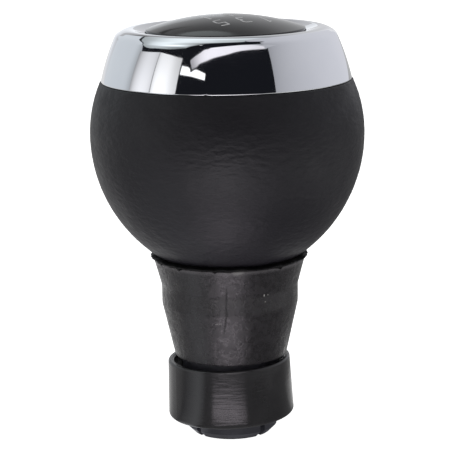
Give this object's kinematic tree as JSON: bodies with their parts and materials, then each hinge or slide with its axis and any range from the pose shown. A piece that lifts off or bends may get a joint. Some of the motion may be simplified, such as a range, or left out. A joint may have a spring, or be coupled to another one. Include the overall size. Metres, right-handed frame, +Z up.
{
  "type": "gear shift knob",
  "caption": "Push-on car gear shift knob: leather bulb, chromed ring and domed gear-pattern cap over a rubber neck, sliding gaiter collar and slotted lever collet.",
  "frame": {"origin": "centre of the collet's foot, at the mouth of the lever bore", "axes": "+Z up the lever's axis to the cap, -Y towards the driver, who reads the pattern upright, +X to the driver's right"},
  "size_m": [0.052, 0.052, 0.0808],
  "materials": {
    "cap_gloss": "gloss",
    "pattern_ink": "satin",
    "chrome_plate": "mirror",
    "black_leather": "satin",
    "core_plastic": "moulded",
    "set_glue": "set, uneven",
    "black_rubber": "worn satin",
    "collar_plastic": "worn satin",
    "collet_plastic": "moulded satin",
    "spring_steel": "drawn"
  },
  "bodies": {
    "knob": {"pattern_cap": "cap_gloss", "gate_inlay": "pattern_ink", "trim_ring": "chrome_plate", "leather_cover": "black_leather", "knob_core": "core_plastic", "glue_bead": "set_glue", "neck_sleeve": "black_rubber", "lever_collet": "collet_plastic", "collet_spring": "spring_steel"},
    "collar": {"gaiter_collar": "collar_plastic"}
  },
  "joints": [
    {"name": "collar_slide", "type": "slide", "parent": "knob", "child": "collar", "axis": [0, 0, -1], "range_m": [0, 0.0024]}
  ]
}
